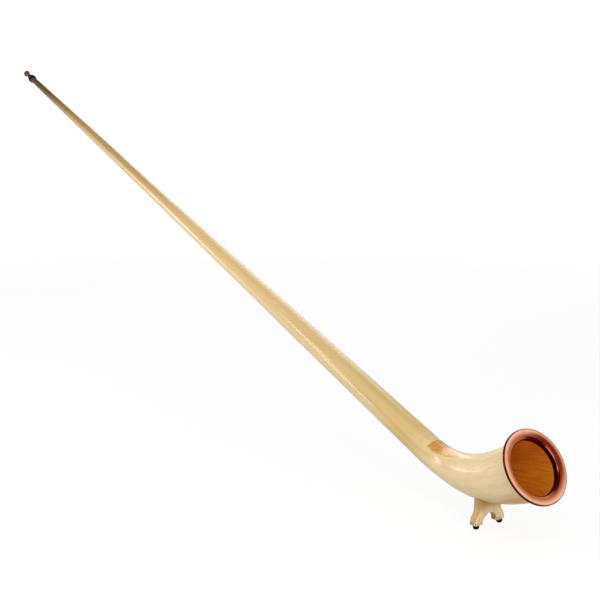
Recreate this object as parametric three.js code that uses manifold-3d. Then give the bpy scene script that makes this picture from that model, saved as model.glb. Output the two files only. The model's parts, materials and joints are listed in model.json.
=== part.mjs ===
// Alphorn: a long conical wooden horn in three plug-in sections, with a turned
// mouthpiece, an upturned bell with a copper ring, and a two-legged foot.
// Lengths are millimetres, +Z is up and the bell points along +X.
// The horn stands on its two rubber feet in the slope at which it is played.

import * as THREE from 'three';
import { mergeVertices } from 'three/addons/utils/BufferGeometryUtils.js';
import Module from 'manifold-3d';

const wasm = await Module();
wasm.setup();

// Stand: slope of the straight tube and where the bend starts above the feet
const tubeSlope = THREE.MathUtils.degToRad(20.5);
const bendHeight = 139;
const footReach = 224.5;

// Lengths of the straight sections, from the bell end to the mouthpiece end
const bellStubLength = 10;
const bellTubeLength = 768;
const middleTubeLength = 732;
const handTubeLength = 1433;

// Outer radii of the straight sections
const bellTubeEndRadius = 38.6;
const bellTubeTopRadius = 31.4;
const middleTubeEndRadius = 30.9;
const middleTubeTopRadius = 24.1;
const handTubeEndRadius = 23.3;
const handTubeTopRadius = 11.8;

// Bore radii along the air column
const bendBoreRadius = 31.8;
const bellJointBoreRadius = 24.4;
const handJointBoreRadius = 16.7;
const topBoreRadius = 6.4;

// Bend and bell
const bellReach = 331.4;
const bellRise = 184.6;
const bellTurn = THREE.MathUtils.degToRad(53.2);
const bendStartHandle = 145;
const bendEndHandle = 142;
const rimRadius = 79.9;
const rimWall = 10;
const bellRadiusShares = [0.498, 0.543, 0.625, 0.712, 0.796, 0.867, 0.935];

// Clearances
const glueLine = 0.3;
const slideClearance = 0.3;
const overrun = 5;
const weldDistance = 0.00001;

// Plug-in joints: a tenon with two seal rings in a lined socket
const tenonWall = 3;
const tenonSeat = 45;
const tenonReach = 55;
const tenonChamfer = 1;
const sleeveWall = 1.2;
const sleeveRoom = 2;
const grooveDepth = 1.8;
const grooveWidth = 2.6;
const firstGroovePlace = 14;
const groovePitch = 24;
const sealPlay = 0.25;

// Mouthpiece, its collar and the bush that takes its shank
const mouthpieceRise = 44;
const mouthpieceRimRadius = 13.5;
const mouthpieceRimWidth = 4.1;
const mouthpieceRimDepth = 3;
const cupBackLength = 22;
const cupDepth = 15;
const throatRadius = 3.2;
const throatLength = 5;
const backboreRadius = 4.4;
const shankTopRadius = 6.4;
const shankTipRadius = 5.5;
const shankSeat = 34;
const collarHubLength = 21;
const collarHubRadius = 11.3;
const collarBeadRadius = 16.8;
const collarBeadLength = 21;
const collarGrooveDepth = 1.4;
const collarEdge = 2;
const collarCover = 3;
const bushWall = 1.4;
const bushSeat = 20;

// Copper bell ring
const ringOuterRadius = 93.6;
const ringSheet = 1.8;
const ringThroatRadius = 68.2;
const ringThroatDepth = 17;
const ringLipRadius = 76;
const ringLipDepth = 3;
const ringCurlDepth = 4.5;
const ringCurlRadius = 2.2;
const ringWoodSetback = 6;

// Foot with its dowels and rubber feet
const footThickness = 22;
const footSetback = 2.5;
const footEdgeRound = 3;
const footSpread = 79.4;
const footTopHalfWidth = 36;
const footTopHeight = 100;
const footWaistHeight = 54;
const toeOuter = 52.3;
const toeInner = 20.5;
const toeHeight = 9;
const toeRound = 5;
const archHeight = 28;
const dowelRadius = 4;
const dowelSpread = 36;
const dowelLength = 26;
const dowelRise = 4.5;
const rubberRadius = 8;
const rubberHeight = 9.2;
const rubberContactRadius = 3.6;
const stemRadius = 3;
const stemLength = 11;

// Facet counts
const tubeSides = 28;
const bellSides = 32;
const ringSides = 40;
const smallSides = 16;
const bendSteps = 16;
const sealSides = 6;
const archSteps = 6;
const edgeSteps = 1;

// Stations along the tube axis, counted from the start of the bend
const scarfAt = -bellStubLength;
const bellJointAt = scarfAt - glueLine - bellTubeLength;
const handJointAt = bellJointAt - slideClearance - middleTubeLength;
const tubeTopAt = handJointAt - slideClearance - handTubeLength;
const collarTopAt = tubeTopAt - collarCover - collarHubLength;
const mouthpieceRimAt = collarTopAt - mouthpieceRise;
const shankTipAt = collarTopAt + shankSeat;
const hornLength = bellReach - mouthpieceRimAt;

const materials = {
  spruce: { color: 0xd9b878, roughness: 0.3, metalness: 0 },
  darkWood: { color: 0x2b1a12, roughness: 0.35, metalness: 0 },
  mouthpieceWood: { color: 0x6b6048, roughness: 0.35, metalness: 0 },
  copper: { color: 0xd08a6a, roughness: 0.25, metalness: 1 },
  brass: { color: 0xb5964e, roughness: 0.3, metalness: 1 },
  aluminium: { color: 0xb8babd, roughness: 0.35, metalness: 1 },
  rubber: { color: 0x0d0d0d, roughness: 0.6, metalness: 0 },
};

// Merges shared corners and drops triangles that have shrunk to a line.
function welded(geometry) {
  const bare = geometry.clone();
  bare.deleteAttribute('normal');
  bare.deleteAttribute('uv');
  const merged = mergeVertices(bare, weldDistance);
  const corners = merged.index.array;
  const kept = [];
  for (let i = 0; i < corners.length; i += 3) {
    const [a, b, c] = corners.slice(i, i + 3);
    if (a !== b && b !== c && c !== a) {
      kept.push(a, b, c);
    }
  }
  merged.setIndex(kept);
  return merged;
}

function toSolid(geometry) {
  const closed = welded(geometry);
  return new wasm.Manifold(new wasm.Mesh({
    numProp: 3,
    vertProperties: new Float32Array(closed.attributes.position.array),
    triVerts: new Uint32Array(closed.index.array),
  }));
}

function toGeometry(solid) {
  const mesh = solid.getMesh();
  const geometry = new THREE.BufferGeometry();
  geometry.setAttribute('position', new THREE.BufferAttribute(mesh.vertProperties, 3));
  geometry.setIndex(new THREE.BufferAttribute(mesh.triVerts, 1));
  geometry.computeVertexNormals();
  return geometry;
}

function part(name, geometry, look) {
  const mesh = new THREE.Mesh(geometry, new THREE.MeshStandardMaterial(look));
  mesh.name = name;
  return mesh;
}

// Turns the faces outwards, whichever way round the outline was drawn.
function facingOut(geometry) {
  const { position } = geometry.attributes;
  const corners = geometry.index.array;
  const point = (i) => new THREE.Vector3().fromBufferAttribute(position, corners[i]);
  let volume = 0;
  for (let i = 0; i < corners.length; i += 3) {
    volume += point(i).dot(point(i + 1).cross(point(i + 2)));
  }
  if (volume < 0) {
    corners.reverse();
  }
  return geometry;
}

// Turns an outline of [radius, place] pairs about the X axis.
// The outline starts and ends on the axis, or is closed here.
function turned(outline, sides) {
  const points = outline.map(([radius, place]) => new THREE.Vector2(radius, place));
  if (points[0].x > 0) {
    points.push(points[0].clone());
  }
  const geometry = new THREE.LatheGeometry(points, sides, Math.PI / sides);
  geometry.rotateZ(-Math.PI / 2);
  return facingOut(geometry);
}

// Straight taper between two [place, radius] pairs.
function taper(from, to, place) {
  const share = (place - from[0]) / (to[0] - from[0]);
  return THREE.MathUtils.lerp(from[1], to[1], share);
}

// Splits a solid at the plane y = 0, with a glue line between the halves.
function halves(solid) {
  const reach = hornLength;
  const result = {};
  for (const [side, sign] of [['left', 1], ['right', -1]]) {
    const box = new THREE.BoxGeometry(2 * reach, reach, 2 * reach);
    box.translate(0, sign * (reach + glueLine) / 2, 0);
    result[side] = solid.intersect(toSolid(box));
  }
  return result;
}

// Curve of the bend, in the plane of symmetry.
const bellDirection = new THREE.Vector3(Math.cos(bellTurn), 0, Math.sin(bellTurn));
const rimCentre = new THREE.Vector3(bellReach, 0, bellRise);
const bendCurve = new THREE.CubicBezierCurve3(
  new THREE.Vector3(0, 0, 0),
  new THREE.Vector3(bendStartHandle, 0, 0),
  rimCentre.clone().addScaledVector(bellDirection, -bendEndHandle),
  rimCentre,
);

// Outer radius of the bell at a share of the bend's length.
const bellRadii = [
  bellTubeEndRadius,
  ...bellRadiusShares.map((share) => share * rimRadius),
  rimRadius,
];
const radiusSpline = new THREE.CubicInterpolant(
  bellRadii.map((_, i) => i / (bellRadii.length - 1)),
  bellRadii,
  1,
  new Float64Array(1),
);

function bellOuterRadius(share) {
  return radiusSpline.evaluate(share)[0];
}

function bellWall(share) {
  return THREE.MathUtils.lerp(bellTubeEndRadius - bendBoreRadius, rimWall, share);
}

// Stations of the bend: centre, direction, outer and inner radius.
function bendStations() {
  const stations = [{
    centre: new THREE.Vector3(scarfAt, 0, 0),
    direction: new THREE.Vector3(1, 0, 0),
    outer: bellTubeEndRadius,
    inner: bendBoreRadius,
  }];
  for (let i = 0; i <= bendSteps; i += 1) {
    const share = i / bendSteps;
    const outer = bellOuterRadius(share);
    stations.push({
      centre: bendCurve.getPointAt(share),
      direction: bendCurve.getTangentAt(share),
      outer,
      inner: outer - bellWall(share),
    });
  }
  return stations;
}

// Skin through circles at the stations, closed at both ends by flat discs.
function swept(stations, radiusOf, sides) {
  const positions = [];
  const index = [];
  const sideways = new THREE.Vector3(0, 1, 0);
  const last = stations.length - 1;
  for (const station of stations) {
    const across = new THREE.Vector3().crossVectors(station.direction, sideways);
    for (let k = 0; k < sides; k += 1) {
      const angle = (k + 0.5) * 2 * Math.PI / sides;
      const point = station.centre.clone()
        .addScaledVector(across, radiusOf(station) * Math.cos(angle))
        .addScaledVector(sideways, radiusOf(station) * Math.sin(angle));
      positions.push(point.x, point.y, point.z);
    }
  }
  for (let i = 0; i < last; i += 1) {
    for (let k = 0; k < sides; k += 1) {
      const next = (k + 1) % sides;
      const a = i * sides + k;
      const b = i * sides + next;
      const c = (i + 1) * sides + next;
      const d = (i + 1) * sides + k;
      index.push(a, d, b, b, d, c);
    }
  }
  for (let k = 1; k < sides - 1; k += 1) {
    index.push(0, k, k + 1);
    index.push(last * sides, last * sides + k + 1, last * sides + k);
  }
  const geometry = new THREE.BufferGeometry();
  geometry.setAttribute('position', new THREE.Float32BufferAttribute(positions, 3));
  geometry.setIndex(index);
  return facingOut(geometry);
}

// Placement of a piece turned about the bell's axis, its zero at the rim plane.
const rimMatrix = new THREE.Matrix4().makeRotationY(-bellTurn).setPosition(rimCentre);

// Back of the copper ring, from the throat inside the bell to its curled edge.
function ringBack(clearance) {
  return [
    [ringThroatRadius + ringSheet + clearance, -ringThroatDepth],
    [ringThroatRadius + ringSheet + clearance, -(ringThroatDepth + ringLipDepth) / 2],
    [ringLipRadius, -ringLipDepth - ringSheet - clearance],
    [ringOuterRadius - 2 * ringCurlRadius, -ringSheet - clearance],
  ];
}

function ringOutline() {
  return [
    ...ringBack(0),
    [ringOuterRadius - 2 * ringCurlRadius, -ringCurlDepth],
    [ringOuterRadius - ringCurlRadius / 2, -ringCurlDepth],
    [ringOuterRadius, -ringCurlDepth / 2],
    [ringOuterRadius - ringCurlRadius / 2, 0],
    [ringOuterRadius - 2 * ringCurlRadius, ringSheet / 6],
    [(ringOuterRadius + ringLipRadius) / 2, 0],
    [ringLipRadius + ringSheet, -ringSheet / 2],
    [ringLipRadius - ringSheet, -ringLipDepth],
    [ringThroatRadius + ringSheet / 2, -(ringThroatDepth + ringLipDepth) / 2],
    [ringThroatRadius, -ringThroatDepth],
  ];
}

// Everything in front of the ring's back, cut from the wood of the bell.
function ringSeat() {
  const back = ringBack(glueLine);
  back[0][1] -= glueLine;
  const farRadius = ringOuterRadius + overrun;
  return turned([
    [0, back[0][1]],
    ...back,
    [farRadius, back[back.length - 1][1]],
    [farRadius, ringThroatDepth],
    [0, ringThroatDepth],
  ], ringSides).applyMatrix4(rimMatrix);
}

// Flat end of the wood, a little behind the ring's lip.
function rimTrim() {
  const farRadius = ringOuterRadius + overrun;
  return turned([
    [0, -ringWoodSetback],
    [farRadius, -ringWoodSetback],
    [farRadius, ringThroatDepth],
    [0, ringThroatDepth],
  ], ringSides).applyMatrix4(rimMatrix);
}

// One straight section of tube, from its top to its end.
// A socket is a counterbore at the top, a seat a counterbore at the end.
function tubeOutline({ top, end, topRadius, endRadius, topBore, endBore, socket, seat }) {
  const outline = [
    [topRadius, top],
    [endRadius, end],
  ];
  if (seat) {
    outline.push([seat.radius, end], [seat.radius, end - seat.depth]);
    outline.push([endBore, end - seat.depth]);
  } else {
    outline.push([endBore, end]);
  }
  outline.push([topBore, top + socket.depth]);
  outline.push([socket.radius, top + socket.depth], [socket.radius, top]);
  return outline;
}

function addHalves(group, name, solid) {
  const pair = halves(solid);
  group.add(part(`${name}_left_half`, toGeometry(pair.left), materials.spruce));
  group.add(part(`${name}_right_half`, toGeometry(pair.right), materials.spruce));
}

// Radii and depths that the wood and the metal of a joint share.
function jointSizes(boreRadius) {
  const tenonRadius = boreRadius + tenonWall;
  const sleeveBore = tenonRadius + slideClearance;
  const sleeveRadius = sleeveBore + sleeveWall;
  return {
    tenonRadius,
    sleeveBore,
    sleeveRadius,
    socket: {
      radius: sleeveRadius + glueLine,
      depth: tenonReach + sleeveRoom + glueLine,
    },
    seat: { radius: tenonRadius + glueLine, depth: tenonSeat + glueLine },
  };
}

const bellJoint = jointSizes(bellJointBoreRadius);
const handJoint = jointSizes(handJointBoreRadius);
const bushRadius = shankTopRadius + slideClearance + bushWall;

function addTubes(group) {
  addHalves(group, 'bell_tube', toSolid(turned(tubeOutline({
    top: bellJointAt,
    end: scarfAt - glueLine,
    topRadius: bellTubeTopRadius,
    endRadius: bellTubeEndRadius,
    topBore: bellJointBoreRadius,
    endBore: bendBoreRadius,
    socket: bellJoint.socket,
  }), tubeSides)));
  addHalves(group, 'middle_tube', toSolid(turned(tubeOutline({
    top: handJointAt,
    end: bellJointAt - slideClearance,
    topRadius: middleTubeTopRadius,
    endRadius: middleTubeEndRadius,
    topBore: handJointBoreRadius,
    endBore: bellJointBoreRadius,
    socket: handJoint.socket,
    seat: bellJoint.seat,
  }), tubeSides)));
  addHalves(group, 'hand_tube', toSolid(turned(tubeOutline({
    top: tubeTopAt,
    end: handJointAt - slideClearance,
    topRadius: handTubeTopRadius,
    endRadius: handTubeEndRadius,
    topBore: topBoreRadius,
    endBore: handJointBoreRadius,
    socket: { radius: bushRadius + glueLine, depth: bushSeat + glueLine },
    seat: handJoint.seat,
  }), tubeSides)));
}

function grooveStarts(jointAt) {
  const first = jointAt - slideClearance + firstGroovePlace;
  return [first, first + groovePitch];
}

// Metal and rubber of one joint: lining, tenon and seal rings.
function addJoint(group, name, jointAt, boreRadius, sizes) {
  group.add(part(`${name}_socket_sleeve`, turned([
    [sizes.sleeveBore, jointAt],
    [sizes.sleeveBore, jointAt + tenonReach + sleeveRoom],
    [sizes.sleeveRadius, jointAt + tenonReach + sleeveRoom],
    [sizes.sleeveRadius, jointAt],
  ], tubeSides), materials.aluminium));

  const start = jointAt - slideClearance - tenonSeat;
  const tip = jointAt - slideClearance + tenonReach;
  const outline = [
    [boreRadius, start],
    [boreRadius, tip],
    [sizes.tenonRadius - tenonChamfer, tip],
    [sizes.tenonRadius, tip - tenonChamfer],
  ];
  for (const place of grooveStarts(jointAt).reverse()) {
    outline.push([sizes.tenonRadius, place + grooveWidth]);
    outline.push([sizes.tenonRadius - grooveDepth, place + grooveWidth]);
    outline.push([sizes.tenonRadius - grooveDepth, place]);
    outline.push([sizes.tenonRadius, place]);
  }
  outline.push([sizes.tenonRadius, start]);
  group.add(part(`${name}_tenon`, turned(outline, tubeSides), materials.aluminium));

  const sealRadius = (grooveDepth + slideClearance) / 2 - sealPlay;
  const sealMiddle = sizes.tenonRadius - grooveDepth + sealPlay + sealRadius;
  grooveStarts(jointAt).forEach((place, i) => {
    const section = [];
    for (let k = 0; k < sealSides; k += 1) {
      const angle = 2 * Math.PI * k / sealSides;
      section.push([
        sealMiddle + sealRadius * Math.cos(angle),
        place + grooveWidth / 2 + sealRadius * Math.sin(angle),
      ]);
    }
    const side = i === 0 ? 'upper' : 'lower';
    group.add(part(`${name}_${side}_seal`, turned(section, tubeSides), materials.rubber));
  });
}

function addMouthpieceEnd(group) {
  const neckAt = mouthpieceRimAt + cupBackLength;
  const cupRadius = mouthpieceRimRadius - mouthpieceRimWidth;
  group.add(part('mouthpiece', turned([
    [backboreRadius, shankTipAt],
    [throatRadius, mouthpieceRimAt + cupDepth + throatLength],
    [throatRadius, mouthpieceRimAt + cupDepth],
    [cupRadius * 0.7, mouthpieceRimAt + cupDepth * 0.55],
    [cupRadius, mouthpieceRimAt + mouthpieceRimDepth * 0.5],
    [cupRadius + mouthpieceRimWidth * 0.3, mouthpieceRimAt],
    [mouthpieceRimRadius - mouthpieceRimWidth * 0.3, mouthpieceRimAt],
    [mouthpieceRimRadius, mouthpieceRimAt + mouthpieceRimDepth * 0.5],
    [mouthpieceRimRadius, mouthpieceRimAt + mouthpieceRimDepth * 1.5],
    [mouthpieceRimRadius * 0.86, mouthpieceRimAt + cupBackLength * 0.4],
    [mouthpieceRimRadius * 0.64, mouthpieceRimAt + cupBackLength * 0.72],
    [shankTopRadius * 1.1, neckAt],
    [shankTopRadius, collarTopAt],
    [shankTipRadius, shankTipAt],
  ], tubeSides), materials.mouthpieceWood));

  const coverEnd = tubeTopAt + collarBeadLength - collarCover;
  const coverRadius = taper(
    [tubeTopAt, handTubeTopRadius],
    [handJointAt, handTubeEndRadius],
    coverEnd,
  ) + glueLine;
  const beadAt = tubeTopAt - collarCover;
  group.add(part('mouthpiece_collar', turned([
    [bushRadius + glueLine, collarTopAt],
    [bushRadius + glueLine, tubeTopAt - glueLine],
    [handTubeTopRadius + glueLine, tubeTopAt - glueLine],
    [coverRadius, coverEnd],
    [coverRadius + collarEdge, coverEnd],
    [collarBeadRadius, coverEnd - collarEdge],
    [collarBeadRadius, beadAt + collarBeadLength / 2 + collarEdge],
    [collarBeadRadius - collarGrooveDepth, beadAt + collarBeadLength / 2],
    [collarBeadRadius, beadAt + collarBeadLength / 2 - collarEdge],
    [collarBeadRadius, beadAt + collarEdge],
    [collarBeadRadius - 2 * collarEdge, beadAt],
    [collarHubRadius, beadAt - collarEdge],
    [collarHubRadius, collarTopAt + collarEdge / 2],
    [collarHubRadius - collarEdge / 2, collarTopAt],
  ], tubeSides), materials.darkWood));

  const shankBore = (place) => slideClearance + taper(
    [collarTopAt, shankTopRadius],
    [shankTipAt, shankTipRadius],
    place,
  );
  const bushEnd = tubeTopAt + bushSeat;
  group.add(part('receiver_bush', turned([
    [shankBore(collarTopAt), collarTopAt],
    [shankBore(bushEnd), bushEnd],
    [bushRadius, bushEnd],
    [bushRadius, collarTopAt],
  ], tubeSides), materials.brass));
}

// Frame of the foot: its zero is on the floor, midway between the rubber feet.
const standToHorn = new THREE.Matrix4()
  .makeRotationY(tubeSlope)
  .setPosition(-footReach, 0, bendHeight)
  .invert();
const hornToStand = standToHorn.clone().invert();

// Height of the bell's underside over a point of the foot board's middle.
function undersideHeight(sideways) {
  const samples = bendStations().map((station) => ({
    centre: station.centre.clone().applyMatrix4(hornToStand),
    outer: station.outer,
  }));
  const heights = samples.map(({ centre, outer }) => {
    const span = outer ** 2 - sideways ** 2 - (centre.x + footSetback) ** 2;
    return span > 0 ? centre.z - Math.sqrt(span) : Infinity;
  });
  return Math.min(...heights);
}

function upright(radius, height, sides) {
  const cylinder = new THREE.CylinderGeometry(radius, radius, height, sides);
  cylinder.rotateX(Math.PI / 2);
  cylinder.translate(0, 0, height / 2);
  return cylinder;
}

function dowelPlaces() {
  return [['left', 1], ['right', -1]].map(([side, sign]) => {
    const sideways = sign * dowelSpread / 2;
    const top = undersideHeight(sideways) + dowelRise;
    return { side, sideways, bottom: top - dowelLength };
  });
}

function dowelHole({ sideways, bottom }) {
  const hole = upright(dowelRadius + glueLine, dowelLength + 2 * glueLine, smallSides);
  return toSolid(hole.translate(-footSetback, sideways, bottom - glueLine));
}

function addBell(group) {
  const stations = bendStations();
  const outside = toSolid(swept(stations, (station) => station.outer, bellSides));
  const first = { ...stations[0], centre: new THREE.Vector3(scarfAt - overrun, 0, 0) };
  const end = stations[stations.length - 1];
  const last = { ...end, centre: end.centre.clone().addScaledVector(bellDirection, overrun) };
  const inside = toSolid(swept([first, ...stations, last], (station) => station.inner, bellSides));
  let bell = outside.subtract(inside).subtract(toSolid(ringSeat())).subtract(toSolid(rimTrim()));
  for (const place of dowelPlaces()) {
    bell = bell.subtract(dowelHole(place).transform(standToHorn.toArray()));
  }
  addHalves(group, 'bell', bell);

  const ring = part('bell_ring', turned(ringOutline(), ringSides), materials.copper);
  ring.position.copy(rimCentre);
  ring.rotation.y = -bellTurn;
  group.add(ring);
}

// Outline of the foot board, seen along the horn: two legs and an arch.
function footOutline() {
  const sole = rubberHeight + glueLine;
  const ankle = sole + toeHeight;
  const arch = sole + archHeight;
  const flare = footWaistHeight - ankle;
  const half = new THREE.Path();
  half.moveTo(footTopHalfWidth, footTopHeight);
  half.lineTo(footTopHalfWidth, footWaistHeight);
  half.bezierCurveTo(
    footTopHalfWidth, ankle + flare * 0.45,
    toeOuter - toeRound, ankle + flare * 0.4,
    toeOuter, ankle,
  );
  half.quadraticCurveTo(toeOuter, sole, toeOuter - toeRound, sole);
  half.lineTo(toeInner + toeRound, sole);
  half.quadraticCurveTo(toeInner, sole, toeInner, sole + toeRound);
  half.bezierCurveTo(toeInner, arch - archHeight * 0.3, toeInner * 0.45, arch, 0, arch);
  const points = half.getPoints(archSteps);
  const mirrored = points.slice(0, -1).reverse().map(({ x, y }) => new THREE.Vector2(-x, y));
  return new THREE.Shape([...points, ...mirrored]);
}

function footBoard() {
  const board = new THREE.ExtrudeGeometry(footOutline(), {
    depth: footThickness - 2 * footEdgeRound,
    bevelThickness: footEdgeRound,
    bevelSize: footEdgeRound,
    bevelOffset: -footEdgeRound,
    bevelSegments: edgeSteps,
    curveSegments: archSteps,
  });
  board.translate(0, 0, footEdgeRound - footThickness / 2 - footSetback);
  board.applyMatrix4(new THREE.Matrix4().makeBasis(
    new THREE.Vector3(0, 1, 0),
    new THREE.Vector3(0, 0, 1),
    new THREE.Vector3(1, 0, 0),
  ));
  return toSolid(board);
}

function addFoot(group) {
  const bellSkin = toSolid(swept(bendStations(), (station) => station.outer + glueLine, bellSides));
  let board = footBoard().subtract(bellSkin.transform(hornToStand.toArray()));
  for (const place of dowelPlaces()) {
    board = board.subtract(dowelHole(place));
  }
  for (const sign of [-1, 1]) {
    const hole = upright(stemRadius + glueLine, rubberHeight + stemLength + 2 * glueLine, smallSides);
    board = board.subtract(toSolid(hole.translate(0, sign * footSpread / 2, 0)));
  }
  group.add(part('foot_board', toGeometry(board), materials.spruce));

  for (const { side, sideways, bottom } of dowelPlaces()) {
    const peg = upright(dowelRadius, dowelLength, smallSides);
    const dowel = part(`foot_dowel_${side}`, peg, materials.spruce);
    dowel.position.set(-footSetback, sideways, bottom);
    group.add(dowel);
  }

  for (const [side, sign] of [['left', 1], ['right', -1]]) {
    const dome = turned([
      [0, 0],
      [rubberContactRadius, 0],
      [rubberRadius * 0.75, rubberHeight * 0.14],
      [rubberRadius * 0.94, rubberHeight * 0.4],
      [rubberRadius, rubberHeight * 0.72],
      [rubberRadius, rubberHeight],
      [stemRadius, rubberHeight],
      [stemRadius, rubberHeight + stemLength],
      [0, rubberHeight + stemLength],
    ], smallSides).rotateY(-Math.PI / 2);
    const foot = part(`rubber_foot_${side}`, dome, materials.rubber);
    foot.position.y = sign * footSpread / 2;
    group.add(foot);
  }
}

const horn = new THREE.Group();
horn.rotation.y = tubeSlope;
horn.position.set(-footReach, 0, bendHeight);
addTubes(horn);
addJoint(horn, 'bell_joint', bellJointAt, bellJointBoreRadius, bellJoint);
addJoint(horn, 'hand_joint', handJointAt, handJointBoreRadius, handJoint);
addMouthpieceEnd(horn);
addBell(horn);

const alphorn = new THREE.Group();
alphorn.add(horn);
addFoot(alphorn);

// The zero of the whole part is the middle of its footprint, on the floor.
alphorn.updateMatrixWorld(true);
const bounds = new THREE.Box3().setFromObject(alphorn, true);
const middle = bounds.getCenter(new THREE.Vector3());
alphorn.position.set(-middle.x, -middle.y, -bounds.min.z);

export default alphorn;
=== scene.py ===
"""Looks of an alphorn: lacquered spruce, a copper bell ring, turned wood and a carved foot.

Lengths are metres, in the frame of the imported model: +Z up, +X the way the bell points.
"""

import json
import math

import bmesh
import bpy
import numpy as np
from mathutils import Matrix, Vector


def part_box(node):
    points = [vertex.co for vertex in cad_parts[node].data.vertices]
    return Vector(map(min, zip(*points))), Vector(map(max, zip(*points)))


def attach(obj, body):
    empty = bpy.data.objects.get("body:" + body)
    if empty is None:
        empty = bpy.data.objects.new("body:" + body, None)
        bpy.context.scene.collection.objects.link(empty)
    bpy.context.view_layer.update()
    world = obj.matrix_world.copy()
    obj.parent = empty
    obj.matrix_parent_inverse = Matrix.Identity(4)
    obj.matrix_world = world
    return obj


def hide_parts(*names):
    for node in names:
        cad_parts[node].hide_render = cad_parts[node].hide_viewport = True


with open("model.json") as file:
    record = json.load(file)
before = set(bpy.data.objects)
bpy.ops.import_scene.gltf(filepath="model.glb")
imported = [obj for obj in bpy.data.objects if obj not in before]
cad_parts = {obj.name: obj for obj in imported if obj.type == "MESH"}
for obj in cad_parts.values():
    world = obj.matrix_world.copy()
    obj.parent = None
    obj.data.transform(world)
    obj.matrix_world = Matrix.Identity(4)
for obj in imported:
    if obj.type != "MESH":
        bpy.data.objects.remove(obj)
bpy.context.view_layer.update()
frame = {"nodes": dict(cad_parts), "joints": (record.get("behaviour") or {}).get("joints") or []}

# Camera: the eye's place from the point midway between the rubber feet
EYE_FROM_FEET = Vector((1.7676, -1.7897, 1.0055))
CAMERA_AZIMUTH = math.radians(55.32)
CAMERA_PITCH = math.radians(10.01)
FOCAL_PIXELS = 1050
IMAGE_PIXELS = 600
SENSOR_WIDTH = 36
VIEW_LENGTH = 100

# Straight tubes
GLUE_LINE = 0.0003
BELL_STUB = 0.010
END_CHAMFER = 0.0006
SEAM_CHAMFER = 0.00012
STEP_GAP = 0.0001
BEND_BORE = 0.0318
BELL_JOINT_BORE = 0.0244
HAND_JOINT_BORE = 0.0167
TOP_BORE = 0.0064

# Plug-in joints
TENON_SEAT = 0.045
TENON_WALL = 0.003
SOCKET_DEPTH = 0.0573
SOCKET_LINING = 0.0048
SLEEVE_WALL = 0.0012
GROOVE_DEPTH = 0.0018
GROOVE_WIDTH = 0.0026
FIRST_GROOVE = 0.014
GROOVE_PITCH = 0.024
SEAL_PLAY = 0.00025

# Bend and bell
BELL_REACH = 0.3314
BELL_RISE = 0.1846
BELL_TURN = math.radians(53.2)
BEND_START_HANDLE = 0.145
BEND_END_HANDLE = 0.142
BEND_RADIUS = 0.0386
RIM_RADIUS = 0.0799
RIM_WALL = 0.010
BELL_RADIUS_SHARES = (0.498, 0.543, 0.625, 0.712, 0.796, 0.867, 0.935)
RIM_SETBACK = 0.006

# Copper ring; its profile is (step, depth) points, with steps from the throat or from the lip
RING_RADIUS = 0.0936
RING_SHEET = 0.0018
RING_THROAT_RADIUS = 0.0682
RING_THROAT_DEPTH = 0.017
RING_LIP_RADIUS = 0.078
RING_CURL_RADIUS = 0.0022
RING_HEM_RADIUS = 0.0009
RING_EDGE_DEPTH = 0.0062
RING_FLARE_DEPTH = 0.0085
RING_FLARE_SLOPE = 1.6
RING_FLARE = ((0.0, RING_THROAT_DEPTH), (0.0003, RING_FLARE_DEPTH), (0.0016, 0.0056), (0.0046, 0.0033))
RING_FLARE_BACK = ((0.0042, 0.0033), (0.0010, 0.0056), (0.0, RING_FLARE_DEPTH))
RING_LIP = ((0.0, 0.0018), (0.0046, 0.0008), (0.0096, 0.0002))
RING_CREST_STEP = 0.0012
RING_HEM_STEP = 0.0040
RING_HEM_DEPTH = 0.0036

# Mouthpiece, in (radius, depth below the rim) points from the throat to the shank
CUP_DEPTH = 0.015
THROAT_RADIUS = 0.0032
CUP = ((THROAT_RADIUS, CUP_DEPTH), (0.0040, 0.0129), (0.006768, 0.0078), (0.00893, 0.0030))
MOUTH_RIM = (
    (0.009892, 0.00075), (0.011122, 0.0), (0.01227, 0.00024),
    (0.0132975, 0.0015), (0.0135, 0.0033), (0.013095, 0.0060),
)
CUP_BACK = ((0.01161, 0.00924), (0.008775, 0.01584), (0.007168, 0.0220), (0.006592, 0.0297))
THROAT_LENGTH = 0.005
BACKBORE_RADIUS = 0.0044
SHANK_TOP_RADIUS = 0.0064
SHANK_TIP_RADIUS = 0.0055
SHANK_END_RADIUS = 0.005335
SHANK_BEVEL = 0.0005

# Collar and bush
COLLAR_HUB_RADIUS = 0.0113
COLLAR_BEAD_RADIUS = 0.0168
COLLAR_BEAD_LENGTH = 0.021
COLLAR_GROOVE = 0.0014
COLLAR_EDGE = 0.002
COLLAR_PLAY = 0.0005
BUSH_WALL = 0.0014

# Rounding of edges on turned pieces
FINE_EDGE = 0.0002
CRISP_EDGE = 0.0003
MOUTH_EDGE = 0.0004
BROKEN_EDGE = 0.0006
TENON_LEAD = 0.0009
SOFT_EDGE = 0.001
HUB_ROUND = 0.002
WAIST_ROUND = 0.003
BEAD_ROUND = 0.004

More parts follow.
